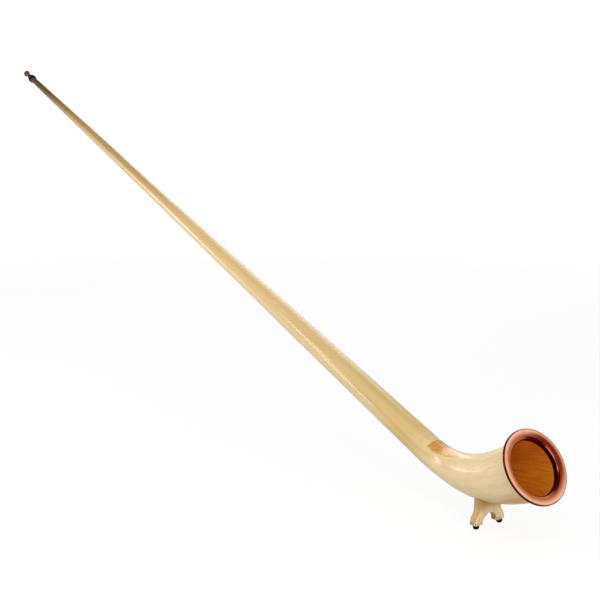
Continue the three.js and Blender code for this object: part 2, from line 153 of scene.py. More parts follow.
# Foot; curves are shares of a height or width
FOOT_TOP_HALF_WIDTH = 0.036
FOOT_TOP_HEIGHT = 0.100
FOOT_WAIST_HEIGHT = 0.054
TOE_OUTER = 0.0523
TOE_INNER = 0.0205
TOE_HEIGHT = 0.009
TOE_ROUND = 0.005
ARCH_HEIGHT = 0.028
ANKLE_CURVE = (0.45, 0.4)
ARCH_SHOULDER = 0.3
ARCH_CROWN = 0.45
FOOT_VOXEL = 0.0008
FOOT_SMOOTHING = 12
SMOOTHING_FACTOR = 0.5
PAW_SQUARENESS = 4.0
PAW_HEIGHT = 0.024
PAW_FADE = 0.012
PAW_CORE = 0.5
PAW_EDGE = 0.25
TINY = 1e-6
TOES_AROUND = 16
TOE_GROOVE = 0.0028
TOE_LENGTH = 0.0090
TOE_ARCH = 0.004
SOLE_ROUND = 0.003
SOLE_TUCK = 0.0016
RUBBER_HEIGHT = 0.0092
RUBBER_RADIUS = 0.008
STEM_RADIUS = 0.003
STEM_BEVEL = 0.00075
DOWEL_BEVEL = 0.2
# The rubber dome, as shares of its radius and height from the floor up
DOME = ((0.45, 0.0), (0.74, 0.14), (0.93, 0.4), (1.0, 0.72), (0.99, 0.96), (0.95, 1.0))

# Colours are display colours. The tones of the wood are at places along the horn; their darkening toward
# the mouthpiece is painted shade
SPRUCE_TONES_AND_SHADE = (
    (-2.93, (52, 30, 22)), (-2.915, (74, 50, 36)), (-2.895, (80, 68, 20)),
    (-2.72, (114, 90, 32)), (-2.635, (158, 122, 56)), (-2.55, (178, 140, 80)),
    (-2.30, (200, 168, 112)), (-1.94, (212, 184, 132)), (-1.52, (220, 189, 136)),
    (-0.76, (222, 194, 142)), (-0.05, (206, 178, 119)), (0.07, (225, 204, 158)),
    (0.40, (228, 208, 164)),
)
SPRUCE_FROM = SPRUCE_TONES_AND_SHADE[0][0]
SPRUCE_TO = SPRUCE_TONES_AND_SHADE[-1][0]
BORE_TONES = ((0.2, (194, 100, 6)), (0.8, (232, 152, 44)))
# At shares of the way from the throat to the edge of the ring: painted shade and a painted dark reflection
# in the throat, a thin painted highlight just past it, painted shade deepening toward the throat, the
# copper's own colour on the lip and painted shade at the edge
COPPER_TONES_LIT_AND_SHADED = (
    (0.00, (84, 16, 8)), (0.07, (88, 20, 11)), (0.085, (166, 110, 92)),
    (0.105, (166, 110, 92)), (0.13, (98, 36, 20)), (0.36, (160, 86, 58)),
    (0.56, (216, 146, 114)), (0.80, (244, 192, 164)), (0.905, (228, 162, 132)),
    (0.935, (92, 42, 27)),
)

# Figure: stretch and detail of its noise, the range that shows, its shade and its amount
STREAKS = ((1.2, 60.0, 60.0), 2.0, 0.38, 0.66, (228, 192, 138), 0.22)
FIBRES = ((7.0, 620.0, 620.0), 3.0, 0.35, 0.68, (194, 158, 104), 0.10)
MOTTLE = ((5.0, 30.0, 30.0), 2.0, 0.4, 0.7, (236, 218, 186), 0.16)
SPECKLE = ((300.0, 300.0, 300.0), 3.0, 0.42, 0.62, (216, 166, 96), 0.4)
TARNISH = ((60.0, 34.0, 34.0), 3.0, 0.4, 0.7, (222, 150, 118), 0.25)
# Figure whose amount changes from place to place
CROSS_BANDS = ((75.0, 12.0, 12.0), 1.0, 0.42, 0.62, (150, 116, 62))
FOOT_FLECKS = ((330.0, 330.0, 330.0), 2.0, 0.50, 0.62, (206, 152, 102))

# Ranges over which something fades in, some followed by the amounts at both ends
CROSS_BAND_FADE = (-2.2, -2.9, 0.0, 0.55)
COAT = (-2.9, -2.2, 0.05, 0.4)
# Painted shade on the upper side of the straight tubes, darker and yellower
BACK = ((2.5, 0.6), (0.04, -0.3), (-1.1, -1.9, 0.25, 1.0))
BACK_SHADE = (216, 212, 188)
# Painted light on the flanks of the straight tubes, paler
FLANK = ((-1.9, -1.4), (0.0, -0.25), (1.15, 1.6, 0.0, 0.35))
FLANK_LIGHT = (236, 218, 180)
# Painted shade under the bell, darker and warmer
BELLY = ((2.05, 2.8), (0.16, 0.34))
BELLY_RAGGED = 1.2
BELLY_SHADE = (228, 192, 140)
FLECKS_LOW = (0.042, 0.028, 0.0, 0.5)
FOOT_SIDE = (0.5, 0.85)
# Painted shade on the inner sides of the arch
FOOT_ARCH_SHADE = (-0.3, -0.7)
# Painted shade on the foot just under the bell
FOOT_SHADE_UNDER_BELL = ((0.034, 0.066), (0.85, 0.5, 0.25, 1.0))
# Painted shade in the bore, darker from the roof of the bell upward
BELL_ROOF_SHADE = (0.12, 0.24)

# End grain in the bend: where it lies along the horn, and its angles from the horn's upper side
PATCH_START = 0.019
PATCH_TIP = 0.162
PATCH_WIDE = 0.050
PATCH_HOLLOW = 0.064
PATCH_HALF_ANGLE = 0.84
PATCH_TIP_ANGLE = 0.47
PATCH_HOLLOW_ANGLE = -0.2
PATCH_RAGGED = 0.34
PATCH = (
    (-0.08, 0.10),
    (-0.03, 0.06),
    (PATCH_START - 0.0006, PATCH_START + 0.0006),
    (PATCH_TIP, PATCH_TIP - 0.02),
)
PATCH_PALE = ((0.052, 0.085), (0.05, 0.20, 0.45, 1.0))
PATCH_AMBER = (202, 150, 66)
PATCH_LIGHT = (238, 203, 148)
PATCH_RINGS = (-0.2, 1.0, 0.0, 0.5)
PATCH_RING_SHADE = (216, 172, 104)
PATCH_RING_SPACING = 0.010
PATCH_SWIRL = 0.03

# Growth rings of the boards
PITH = (0.02, 0.10)
GROWTH_SPACING = 0.0065
GROWTH_WOBBLE = 0.010
GROWTH_AMOUNT = 0.10
GROWTH_TONE = (212, 176, 112)
BOARD_SLOPE = 0.15
BOARD_WARP = 0.045
BOARD_WAVE_LENGTH = 0.0058
BOARD_WAVE_AMOUNT = 0.06

# Copper: directions (up, out) of its sides, and the ranges of its zones over side, depth and radius; the
# zones are painted light on one side and painted shade on the other, in the throat and behind the edge
DUSKY_SIDE = (0.15, 0.98)
DEEP_SHADE_SIDE = (0.37, 0.93)
COPPER_SHADE_BEHIND = ((-0.0004, -0.0010), (RING_RADIUS - 0.0024, RING_RADIUS - 0.0012))
COPPER_LIT_SIDE = ((0.35, -0.15), (0.0690, 0.0715), (0.082, 0.0755, 0.0, 0.85))
COPPER_DUSK = (0.3, 0.95, 0.0, 0.6)
COPPER_DEEP_SHADE = ((0.45, 0.95), (0.0745, 0.078), (0.0868, 0.083))
COPPER_WALL_SHADE = ((0.1, 0.4), (0.93, 0.84), (0.0688, 0.0701), (0.0760, 0.0725))
COPPER_GLINT = (240, 180, 150)
TURNING_LINES = 5200.0
BUMP_DISTANCE = 0.0001

# Light; a softbox has a middle, a place along the horn that it faces, its sides and its radiance
WHITE = (1, 1, 1, 1)
SKY_LIGHT = 0.6
FLOOR_BOUNCE = 0.55
FLOOR_GLOW = 0.86
FLOOR_HALF_SIZE = 60
FLOOR_SHADOW_REACH = 1.8
FLOOR_WHITE_FROM = 4.5
SOFTBOXES = (
    ("key_box", (0.3, -4.0, 1.7), -0.3, 3.4, 1.8, 2.1),
    ("side_box", (4.4, -0.7, 0.9), 0.3, 2.2, 1.8, 4.4),
    ("near_panel", (-0.95, -2.0, 0.85), -0.4, 0.30, 1.7, 10.5),
    ("far_panel", (-3.15, -2.0, 0.9), -1.8, 0.7, 1.2, 6.0),
    ("back_panel", (-1.8, 2.1, 1.6), -0.9, 2.0, 1.2, 1.5),
    ("front_box", (2.75, -1.1, 2.3), 0.3, 0.9, 0.9, 5.5),
)
# Cards like softboxes, seen only in gloss
GLOSS_CARDS = (
    ("back_card", (-0.8, 1.2, 1.8), -0.9, 1.9, 1.8, 2.4),
    ("low_card", (-2.7, -1.25, 1.15), -2.2, 1.2, 1.7, 2.3),
)

# Facets, steps along curves, and the angles in degrees below which a piece is shaded smooth
BELL_SIDES = 96
BEND_STEPS = 96
CURVE_STEPS = 2000
TUBE_STEPS = 24
TURN_SIDES = 96
SEAL_SIDES = 16
RING_STEPS = 8
HEM_STEPS = 10
PROFILE_STEPS = 6
FILLET_STEPS = 6
TENON_STEPS = 3
LEG_STEPS = 16
TOE_STEPS = 8
SMOOTH_BELOW = 35
RING_SMOOTH_BELOW = 50
COLLAR_SMOOTH_BELOW = 60

nodes = frame["nodes"]
slot_pieces = {}
joints = {joint["name"]: joint for joint in frame["joints"]}

# The horn's own axes: X down the tube to the bend, Y sideways, Z across it
down_tube = -Vector(joints["bell_joint_twist"]["axis"]).normalized()
sideways = Vector((0, 1, 0))
upright = Vector((0, 0, 1))
across_tube = down_tube.cross(sideways)


def axes_matrix(origin, x, y, z):
    matrix = Matrix((x, y, z)).transposed().to_4x4()
    matrix.translation = origin
    return matrix


def standing(origin):
    """A placement whose X axis points up."""
    return axes_matrix(origin, upright, sideways, Vector((-1, 0, 0)))


def scarf_place():
    """Where the straight tube meets the bend, on the tube's axis."""
    joint = Vector(joints["bell_joint_twist"]["pos_m"])
    corners = nodes["bell_tube_left_half"].data.vertices
    return joint + down_tube * (max(down_tube.dot(v.co - joint) for v in corners) + GLUE_LINE)


horn = axes_matrix(scarf_place() + down_tube * BELL_STUB, down_tube, sideways, across_tube)
horn_inverse = horn.inverted()
rim_axis_local = Vector((math.cos(BELL_TURN), 0, math.sin(BELL_TURN)))
rim_local = Vector((BELL_REACH, 0, BELL_RISE))
rim = axes_matrix(
    horn @ rim_local,
    horn.to_3x3() @ rim_axis_local,
    sideways,
    horn.to_3x3() @ rim_axis_local.cross(sideways),
)
rubber_low, rubber_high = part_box("rubber_foot_left")
feet_middle = Vector(((rubber_low.x + rubber_high.x) / 2, 0, 0))
feet_spread = rubber_low.y + rubber_high.y


def span(node):
    """First and last place of a CAD node along the tube, from the start of the bend."""
    places = [(horn_inverse @ vertex.co).x for vertex in nodes[node].data.vertices]
    return min(places), max(places)


def radius_at(node, place):
    """Largest distance from the tube's axis of a CAD node's corners at a place."""
    radii = []
    for vertex in nodes[node].data.vertices:
        local = horn_inverse @ vertex.co
        if abs(local.x - place) < GLUE_LINE:
            radii.append(math.hypot(local.y, local.z))
    return max(radii)


# Meshes

def linked(name, data):
    """A new object in the scene."""
    made = bpy.data.objects.new(name, data)
    bpy.context.scene.collection.objects.link(made)
    return made


def closed_mesh(name, vertices, faces):
    """A mesh whose faces all look outward."""
    mesh = bpy.data.meshes.new(name)
    mesh.from_pydata([tuple(v) for v in vertices], [], faces)
    tidy = bmesh.new()
    tidy.from_mesh(mesh)
    bmesh.ops.recalc_face_normals(tidy, faces=tidy.faces)
    tidy.to_mesh(mesh)
    tidy.free()
    return mesh


def new_piece(name, vertices, faces, body, replaced, slot, smooth_below=SMOOTH_BELOW):
    """A smooth-shaded piece that rides on a body and stands for CAD nodes."""
    mesh = closed_mesh(name, vertices, faces)
    mesh.shade_smooth()
    mesh.set_sharp_from_angle(angle=math.radians(smooth_below))
    piece = linked(name, mesh)
    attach(piece, body)
    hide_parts(*replaced)
    slot_pieces.setdefault(slot, []).append(piece)
    return piece


def bands(rows, size):
    """Quads between neighbouring rows, each a closed loop of the same number of vertices."""
    faces = []
    for a in range(0, (rows - 1) * size, size):
        b = a + size
        faces += [(a + k, a + (k + 1) % size, b + (k + 1) % size, b + k) for k in range(size)]
    return faces


def set_grain(mesh, places):
    """Stores each vertex's place along, up and out from the axis, for its material."""
    grain = mesh.attributes.new("grain_place", "FLOAT_VECTOR", "POINT")
    grain.data.foreach_set("vector", np.asarray(places, np.float32).ravel())


def lathe(name, outline, placement, body, replaced, slot, smooth_below=SMOOTH_BELOW):
    """Turns (radius, place) points about the placement's X axis.

    The outline closes on itself, or starts and ends on the axis.
    """
    vertices, rings, places = [], [], []
    for radius, place in outline:
        if radius == 0:
            rings.append([len(vertices)] * TURN_SIDES)
            vertices.append(placement @ Vector((place, 0, 0)))
            places.append((place, 0, 0))
            continue
        rings.append(range(len(vertices), len(vertices) + TURN_SIDES))
        for k in range(TURN_SIDES):
            angle = 2 * math.pi * k / TURN_SIDES
            local = Vector((place, radius * math.sin(angle), radius * math.cos(angle)))
            vertices.append(placement @ local)
            places.append((local.x, local.z, local.y))
    closed = outline[0][0] > 0
    following = rings[1:] + rings[:1] if closed else rings[1:]
    faces = []
    for a, b in zip(rings, following):
        for k in range(TURN_SIDES):
            n = (k + 1) % TURN_SIDES
            faces.append(tuple(dict.fromkeys((a[k], a[n], b[n], b[k]))))
    piece = new_piece(name, vertices, faces, body, replaced, slot, smooth_below)
    set_grain(piece.data, places)


def arc(centre, radius, start, end, steps):
    """Points (radius, place) on an arc; angles in degrees from the radial direction."""
    points = []
    for k in range(steps + 1):
        angle = math.radians(start + (end - start) * k / steps)
        points.append((centre[0] + radius * math.cos(angle), centre[1] + radius * math.sin(angle)))
    return points


def curve_point(p0, p1, p2, p3, t):
    """A point on the Catmull-Rom curve from p1 to p2."""
    return 0.5 * (
        2 * p1 + (p2 - p0) * t
        + (2 * p0 - 5 * p1 + 4 * p2 - p3) * t**2
        + (3 * p1 - p0 - 3 * p2 + p3) * t**3
    )


def smooth_line(points, steps):
    """A smooth line through (radius, place) points."""
    padded = [points[0]] + list(points) + [points[-1]]
    line = []
    for i in range(1, len(padded) - 2):
        around = [np.array(p, float) for p in padded[i - 1:i + 3]]
        line += [tuple(curve_point(*around, k / steps)) for k in range(steps)]
    line.append(tuple(points[-1]))
    return line


def filleted(corners, steps=FILLET_STEPS):
    """Rounds the corners of a closed outline of (radius, place, fillet) triples."""
    points = []
    for i, (radius, place, fillet) in enumerate(corners):
        here = Vector((radius, place))
        if not fillet:
            points.append(tuple(here))
            continue
        before = Vector(corners[i - 1][:2]) - here
        after = Vector(corners[(i + 1) % len(corners)][:2]) - here
        half = before.angle(after) / 2
        cut = min(fillet / math.tan(half), before.length / 2, after.length / 2)
        between = (before.normalized() + after.normalized()).normalized()
        middle = here + between * (cut / math.cos(half))
        start = here + before.normalized() * cut - middle
        end = here + after.normalized() * cut - middle
        turn = math.atan2(start.x * end.y - start.y * end.x, start.dot(end))
        for k in range(steps + 1):
            points.append(tuple(middle + Matrix.Rotation(turn * k / steps, 2) @ start))
    return points


def half_shell(name, stations, side, body, replaced, slot):
    """Half of a pipe, split in the plane of symmetry.

    A station is (centre, across, outer radius, inner radius, place along the horn).
    side is 1 for the left half and -1 for the right. The bore takes the second material.
    """
    count = BELL_SIDES // 2
    vertices, places = [], []
    for centre, across, outer, inner, along in stations:
        loop = [(outer - SEAM_CHAMFER, 0.0)]
        loop += [(outer, math.pi * (k + 0.25) / (count + 0.5)) for k in range(count + 1)]
        loop += [(outer - SEAM_CHAMFER, math.pi)]
        loop += [(inner, math.pi * (count - k) / count) for k in range(count + 1)]
        for radius, angle in loop:
            up = radius * math.cos(angle)
            out = side * max(radius * math.sin(angle), 0.0)
            vertices.append(centre + across * up + sideways * out)
            places.append((along, up, out))
    size = len(vertices) // len(stations)
    outer_count = count + 3
    faces = bands(len(stations), size)
    in_bore = [outer_count <= k % size < size - 1 for k in range(len(faces))]
    for start in (0, len(vertices) - size):
        inner_loop = [start + size - 1 - k for k in range(count + 1)]
        pairs = [inner_loop[0]] + inner_loop + [inner_loop[-1]]
        for k in range(outer_count - 1):
            corners = (start + k, start + k + 1, pairs[k + 1], pairs[k])
            faces.append(tuple(dict.fromkeys(corners)))
            in_bore.append(False)
    piece = new_piece(name, vertices, faces, body, replaced, slot)
    set_grain(piece.data, places)
    piece.data.polygons.foreach_set("material_index", np.array(in_bore, np.int32))


def both_halves(node, stations, body):
    for word, side in (("left", 1), ("right", -1)):
        name = f"{node}_{word}_half"
        half_shell(f"{name}_wood", stations, side, body, [name], "lacquered_spruce")


# Straight tubes

def tube_stations(node, inner):
    """Stations of a straight tube; inner is a list of (place, radius) from its top."""
    top, end = span(f"{node}_left_half")
    top_radius = radius_at(f"{node}_left_half", top)
    end_radius = radius_at(f"{node}_left_half", end)
    stops = {top, top + END_CHAMFER, end - END_CHAMFER, end}
    stops |= {top + (end - top) * k / TUBE_STEPS for k in range(1, TUBE_STEPS)}
    stops |= {place for place, _ in inner}
    stations = []
    for place in sorted(stops):
        share = (place - top) / (end - top)
        outer = top_radius + (end_radius - top_radius) * share
        if place in (top, end):
            outer -= END_CHAMFER
        bore = float(np.interp(place, [p for p, _ in inner], [r for _, r in inner]))
        stations.append((horn @ Vector((place, 0, 0)), across_tube, outer, bore, place))
    return stations


def stepped_bore(node, socket, bores, seat):
    """Inner (place, radius) points; socket and seat are (radius, depth) pairs."""
    top, end = span(f"{node}_left_half")
    points = [
        (top, socket[0]),
        (top + socket[1], socket[0]),
        (top + socket[1] + STEP_GAP, bores[0]),
    ]
    if seat:
        points += [(end - seat[1] - STEP_GAP, bores[1]), (end - seat[1], seat[0]), (end, seat[0])]
    else:
        points += [(end, bores[1])]
    return points


def build_tubes():
    bell_tenon = (BELL_JOINT_BORE + TENON_WALL + GLUE_LINE, TENON_SEAT)
    hand_tenon = (HAND_JOINT_BORE + TENON_WALL + GLUE_LINE, TENON_SEAT)
    bell_socket = (BELL_JOINT_BORE + SOCKET_LINING, SOCKET_DEPTH)
    hand_socket = (HAND_JOINT_BORE + SOCKET_LINING, SOCKET_DEPTH)
    bush_depth = span("receiver_bush")[1] - span("hand_tube_left_half")[0] + GLUE_LINE
    bush_seat = (SHANK_TOP_RADIUS + GLUE_LINE + BUSH_WALL + GLUE_LINE, bush_depth)
    for node, body, socket, bores, seat in (
        ("hand_tube", "hand_section", bush_seat, (TOP_BORE, HAND_JOINT_BORE), hand_tenon),
        ("middle_tube", "middle_section", hand_socket, (HAND_JOINT_BORE, BELL_JOINT_BORE), bell_tenon),
        ("bell_tube", "bell_section", bell_socket, (BELL_JOINT_BORE, BEND_BORE), None),
    ):
        stations = tube_stations(node, stepped_bore(node, socket, bores, seat))
        both_halves(node, stations, body)


# Bend and bell

def bezier(a, b, c, d, t):
    u = 1 - t
    return a * u**3 + b * (3 * u * u * t) + c * (3 * u * t * t) + d * t**3


def bend_point(t):
    """Place and direction on the bend's Bezier curve, in the horn's own axes."""
    p0 = Vector((0, 0, 0))
    p1 = Vector((BEND_START_HANDLE, 0, 0))
    p2 = rim_local - rim_axis_local * BEND_END_HANDLE
    p3 = rim_local
    u = 1 - t
    slope = (p1 - p0) * (u * u) + (p2 - p1) * (2 * u * t) + (p3 - p2) * (t * t)
    return bezier(p0, p1, p2, p3, t), slope.normalized()


def bend_lengths():
    """Fine curve parameters along the bend, and its length up to each."""
    params = [k / CURVE_STEPS for k in range(CURVE_STEPS + 1)]
    points = [bend_point(t)[0] for t in params]
    lengths = [0.0]
    for a, b in zip(points, points[1:]):
        lengths.append(lengths[-1] + (b - a).length)
    return params, lengths


def bell_radius(share):
    """Outer radius at a share of the bend's length, through the table's radii."""
    radii = [BEND_RADIUS] + [s * RIM_RADIUS for s in BELL_RADIUS_SHARES] + [RIM_RADIUS]
    place = share * (len(radii) - 1)
    i = min(int(place), len(radii) - 2)
    padded = [2 * radii[0] - radii[1]] + radii + [2 * radii[-1] - radii[-2]]
    return curve_point(*padded[i:i + 4], place - i)


def bell_stations(extra=0.0):
    """Stations of the bend; extra makes the outside larger, for the seat of the foot."""
    params, lengths = bend_lengths()
    length = lengths[-1]
    start = horn @ Vector((-BELL_STUB, 0, 0))
    stations = [(start, across_tube, BEND_RADIUS + extra, BEND_BORE, -BELL_STUB)]
    turn = horn.to_3x3()
    trim = length - RIM_SETBACK
    seat_radius = RING_THROAT_RADIUS + RING_SHEET + GLUE_LINE
    seat_start = length - RING_THROAT_DEPTH - GLUE_LINE
    flare_start = length - RING_FLARE_DEPTH
    stops = [length * k / BEND_STEPS for k in range(BEND_STEPS)]
    stops = [along for along in stops if along < seat_start - STEP_GAP]
    stops += [seat_start, seat_start + STEP_GAP, flare_start, trim]
    for along in stops:
        share = along / length
        place, direction = bend_point(float(np.interp(along, lengths, params)))
        outer = bell_radius(share)
        inner = outer - (BEND_RADIUS - BEND_BORE) * (1 - share) - RIM_WALL * share
        if along > seat_start:
            inner = seat_radius + RING_FLARE_SLOPE * max(0.0, along - flare_start)
        across = turn @ direction.cross(sideways)
        stations.append((horn @ place, across, outer + extra, inner, along))
    return stations


def build_bell():
    both_halves("bell", bell_stations(), "bell_section")


def build_ring():
    """Spun copper: a lining in the throat, a flared lip and a rolled edge."""
    curl = (RING_RADIUS - RING_CURL_RADIUS, -RING_CURL_RADIUS)
    hem = (RING_RADIUS - RING_HEM_RADIUS, RING_HEM_RADIUS - RING_EDGE_DEPTH)
    back = RING_THROAT_RADIUS + RING_SHEET
    flare = [(RING_THROAT_RADIUS + step, -depth) for step, depth in RING_FLARE]
    lip = [(RING_LIP_RADIUS + step, -depth) for step, depth in RING_LIP]
    outline = smooth_line(flare + lip + [(curl[0] - RING_CREST_STEP, 0.0)], RING_STEPS)
    outline += arc(curl, RING_CURL_RADIUS, 90, 0, RING_STEPS)
    outline += arc(hem, RING_HEM_RADIUS, 0, -180, HEM_STEPS)
    outline.append((hem[0] - RING_HEM_RADIUS, -RING_HEM_DEPTH))
    outline.append((hem[0] - RING_HEM_STEP, lip[-1][1] - RING_SHEET))
    outline += [(radius, place - RING_SHEET) for radius, place in reversed(lip[:-1])]
    outline += [(back + step, -depth - RING_SHEET) for step, depth in RING_FLARE_BACK]
    outline.append((back, -RING_THROAT_DEPTH))
    lathe("bell_ring_copper", outline, rim, "bell_section", ["bell_ring"], "bell_copper", RING_SMOOTH_BELOW)


# Turned pieces

def build_mouthpiece():
    rim_at, tip_at = span("mouthpiece")
    collar_at = span("mouthpiece_collar")[0]
    profile = [(radius, rim_at + depth) for radius, depth in CUP + MOUTH_RIM + CUP_BACK]
    outline = [(BACKBORE_RADIUS, tip_at), (THROAT_RADIUS, rim_at + CUP_DEPTH + THROAT_LENGTH)]
    outline += smooth_line(profile + [(SHANK_TOP_RADIUS, collar_at)], PROFILE_STEPS)
    outline += [(SHANK_TIP_RADIUS, tip_at - SHANK_BEVEL), (SHANK_END_RADIUS, tip_at)]
    lathe("mouthpiece_turned", outline, horn, "mouthpiece", ["mouthpiece"], "mouthpiece_wood")


def build_collar():
    collar_at, bead_end = span("mouthpiece_collar")
    top_at = span("hand_tube_left_half")[0]
    top_radius = radius_at("hand_tube_left_half", top_at)
    bush = SHANK_TOP_RADIUS + GLUE_LINE + BUSH_WALL + GLUE_LINE
    cover = top_radius + COLLAR_PLAY
    bead_at = bead_end - COLLAR_BEAD_LENGTH
    middle = (bead_at + bead_end) / 2
    outline = filleted([
        (bush, collar_at, MOUTH_EDGE),
        (bush, top_at - GLUE_LINE, 0),
        (top_radius + GLUE_LINE, top_at - GLUE_LINE, 0),
        (cover, bead_end, CRISP_EDGE),
        (cover + COLLAR_EDGE, bead_end, SOFT_EDGE),
        (COLLAR_BEAD_RADIUS, bead_end - COLLAR_EDGE, BEAD_ROUND),
        (COLLAR_BEAD_RADIUS, middle + COLLAR_EDGE, WAIST_ROUND),
        (COLLAR_BEAD_RADIUS - COLLAR_GROOVE, middle, BROKEN_EDGE),
        (COLLAR_BEAD_RADIUS, middle - COLLAR_EDGE, WAIST_ROUND),
        (COLLAR_BEAD_RADIUS, bead_at + COLLAR_EDGE, BEAD_ROUND),
        (COLLAR_BEAD_RADIUS - 2 * COLLAR_EDGE, bead_at, SOFT_EDGE),
        (COLLAR_HUB_RADIUS, bead_at - COLLAR_EDGE, HUB_ROUND),
        (COLLAR_HUB_RADIUS, collar_at + COLLAR_EDGE / 2, SOFT_EDGE),
        (COLLAR_HUB_RADIUS - COLLAR_EDGE / 2, collar_at, BROKEN_EDGE),
    ])
    lathe(
        "mouthpiece_collar_turned", outline, horn,
        "hand_section", ["mouthpiece_collar"], "dark_wood", COLLAR_SMOOTH_BELOW,
    )


def build_bush():
    start, end = span("receiver_bush")
    tip = span("mouthpiece")[1]
    bore = SHANK_TOP_RADIUS + GLUE_LINE
    taper = (SHANK_TOP_RADIUS - SHANK_TIP_RADIUS) / (tip - start)
    outline = filleted([
        (bore, start, MOUTH_EDGE),
        (bore - taper * (end - start), end, FINE_EDGE),
        (bore + BUSH_WALL, end, CRISP_EDGE),
        (bore + BUSH_WALL, start, CRISP_EDGE),
    ])
    lathe("receiver_bush_turned", outline, horn, "hand_section", ["receiver_bush"], "receiver_metal")


def build_joint(name, bore, lower_body, seals_body, upper_body):
    """Lining, tenon and seal rings of one plug-in joint."""
    top, end = span(f"{name}_socket_sleeve")
    tenon_radius = bore + TENON_WALL
    sleeve_bore = tenon_radius + GLUE_LINE
    lathe(
        f"{name}_sleeve_turned",
        filleted([
            (sleeve_bore, top, BROKEN_EDGE),
            (sleeve_bore, end, FINE_EDGE),
            (sleeve_bore + SLEEVE_WALL, end, FINE_EDGE),
            (sleeve_bore + SLEEVE_WALL, top, FINE_EDGE),
        ]),
        horn, lower_body, [f"{name}_socket_sleeve"], "joint_metal",
    )
    start, tip = span(f"{name}_tenon")
    corners = [(bore, start, FINE_EDGE), (bore, tip, MOUTH_EDGE), (tenon_radius, tip, TENON_LEAD)]
    for place in grooves(top):
        corners += [
            (tenon_radius, place + GROOVE_WIDTH, FINE_EDGE),
            (tenon_radius - GROOVE_DEPTH, place + GROOVE_WIDTH, FINE_EDGE),
            (tenon_radius - GROOVE_DEPTH, place, FINE_EDGE),
            (tenon_radius, place, FINE_EDGE),
        ]
    corners.append((tenon_radius, start, FINE_EDGE))
    lathe(
        f"{name}_tenon_turned", filleted(corners, TENON_STEPS), horn,
        upper_body, [f"{name}_tenon"], "joint_metal",
    )
    thickness = (GROOVE_DEPTH + GLUE_LINE) / 2 - SEAL_PLAY
    centre = tenon_radius - GROOVE_DEPTH + SEAL_PLAY + thickness
    for place, word in zip(grooves(top), ("lower", "upper")):
        section = arc((centre, place + GROOVE_WIDTH / 2), thickness, 0, 360, SEAL_SIDES)[:-1]
        lathe(f"{name}_{word}_ring", section, horn, seals_body, [f"{name}_{word}_seal"], "black_rubber")


def grooves(joint_at):
    """Starts of the two seal grooves, the lower one first."""
    first = joint_at - GLUE_LINE + FIRST_GROOVE
    return [first + GROOVE_PITCH, first]


# Foot

def cubic(a, b, c, d, steps):
    """Points on a Bezier curve between (sideways, height) points, without the first."""
    ends = [np.array(p, float) for p in (a, b, c, d)]
    return [tuple(bezier(*ends, k / steps)) for k in range(1, steps + 1)]


def foot_outline():
    """Outline of the board, seen along the horn: two legs and an arch."""
    sole = RUBBER_HEIGHT + GLUE_LINE
    ankle = sole + TOE_HEIGHT
    arch_top = sole + ARCH_HEIGHT
    flare = FOOT_WAIST_HEIGHT - ankle
    half = [(FOOT_TOP_HALF_WIDTH, FOOT_TOP_HEIGHT), (FOOT_TOP_HALF_WIDTH, FOOT_WAIST_HEIGHT)]
    half += cubic(
        half[-1],
        (FOOT_TOP_HALF_WIDTH, ankle + flare * ANKLE_CURVE[0]),
        (TOE_OUTER - TOE_ROUND, ankle + flare * ANKLE_CURVE[1]),
        (TOE_OUTER, ankle),
        LEG_STEPS,
    )
    half += cubic(half[-1], (TOE_OUTER, sole), (TOE_OUTER, sole), (TOE_OUTER - TOE_ROUND, sole), TOE_STEPS)
    half.append((TOE_INNER + TOE_ROUND, sole))
    half += cubic(half[-1], (TOE_INNER, sole), (TOE_INNER, sole), (TOE_INNER, sole + TOE_ROUND), TOE_STEPS)
    half += cubic(
        half[-1],
        (TOE_INNER, arch_top - ARCH_HEIGHT * ARCH_SHOULDER),
        (TOE_INNER * ARCH_CROWN, arch_top),
        (0, arch_top),
        LEG_STEPS,
    )
    return half + [(-y, z) for y, z in reversed(half[:-1])]


def applied(piece):
    """Replaces a piece's mesh by what its modifiers make of it."""
    graph = bpy.context.evaluated_depsgraph_get()
    mesh = bpy.data.meshes.new_from_object(piece.evaluated_get(graph))
    piece.modifiers.clear()
    piece.data = mesh


def bell_skin():
    """A closed skin around the bell, where the top of the foot is cut away."""
    stations = bell_stations(GLUE_LINE)
    vertices = []
    for centre, across, outer, _, _ in stations:
        for k in range(BELL_SIDES):
            angle = 2 * math.pi * k / BELL_SIDES
            up, out = outer * math.cos(angle), outer * math.sin(angle)
            vertices.append(centre + across * up + sideways * out)
    faces = [tuple(range(BELL_SIDES)), tuple(range(len(vertices) - BELL_SIDES, len(vertices)))]
    faces += bands(len(stations), BELL_SIDES)
    return linked("bell_skin", closed_mesh("bell_skin", vertices, faces))


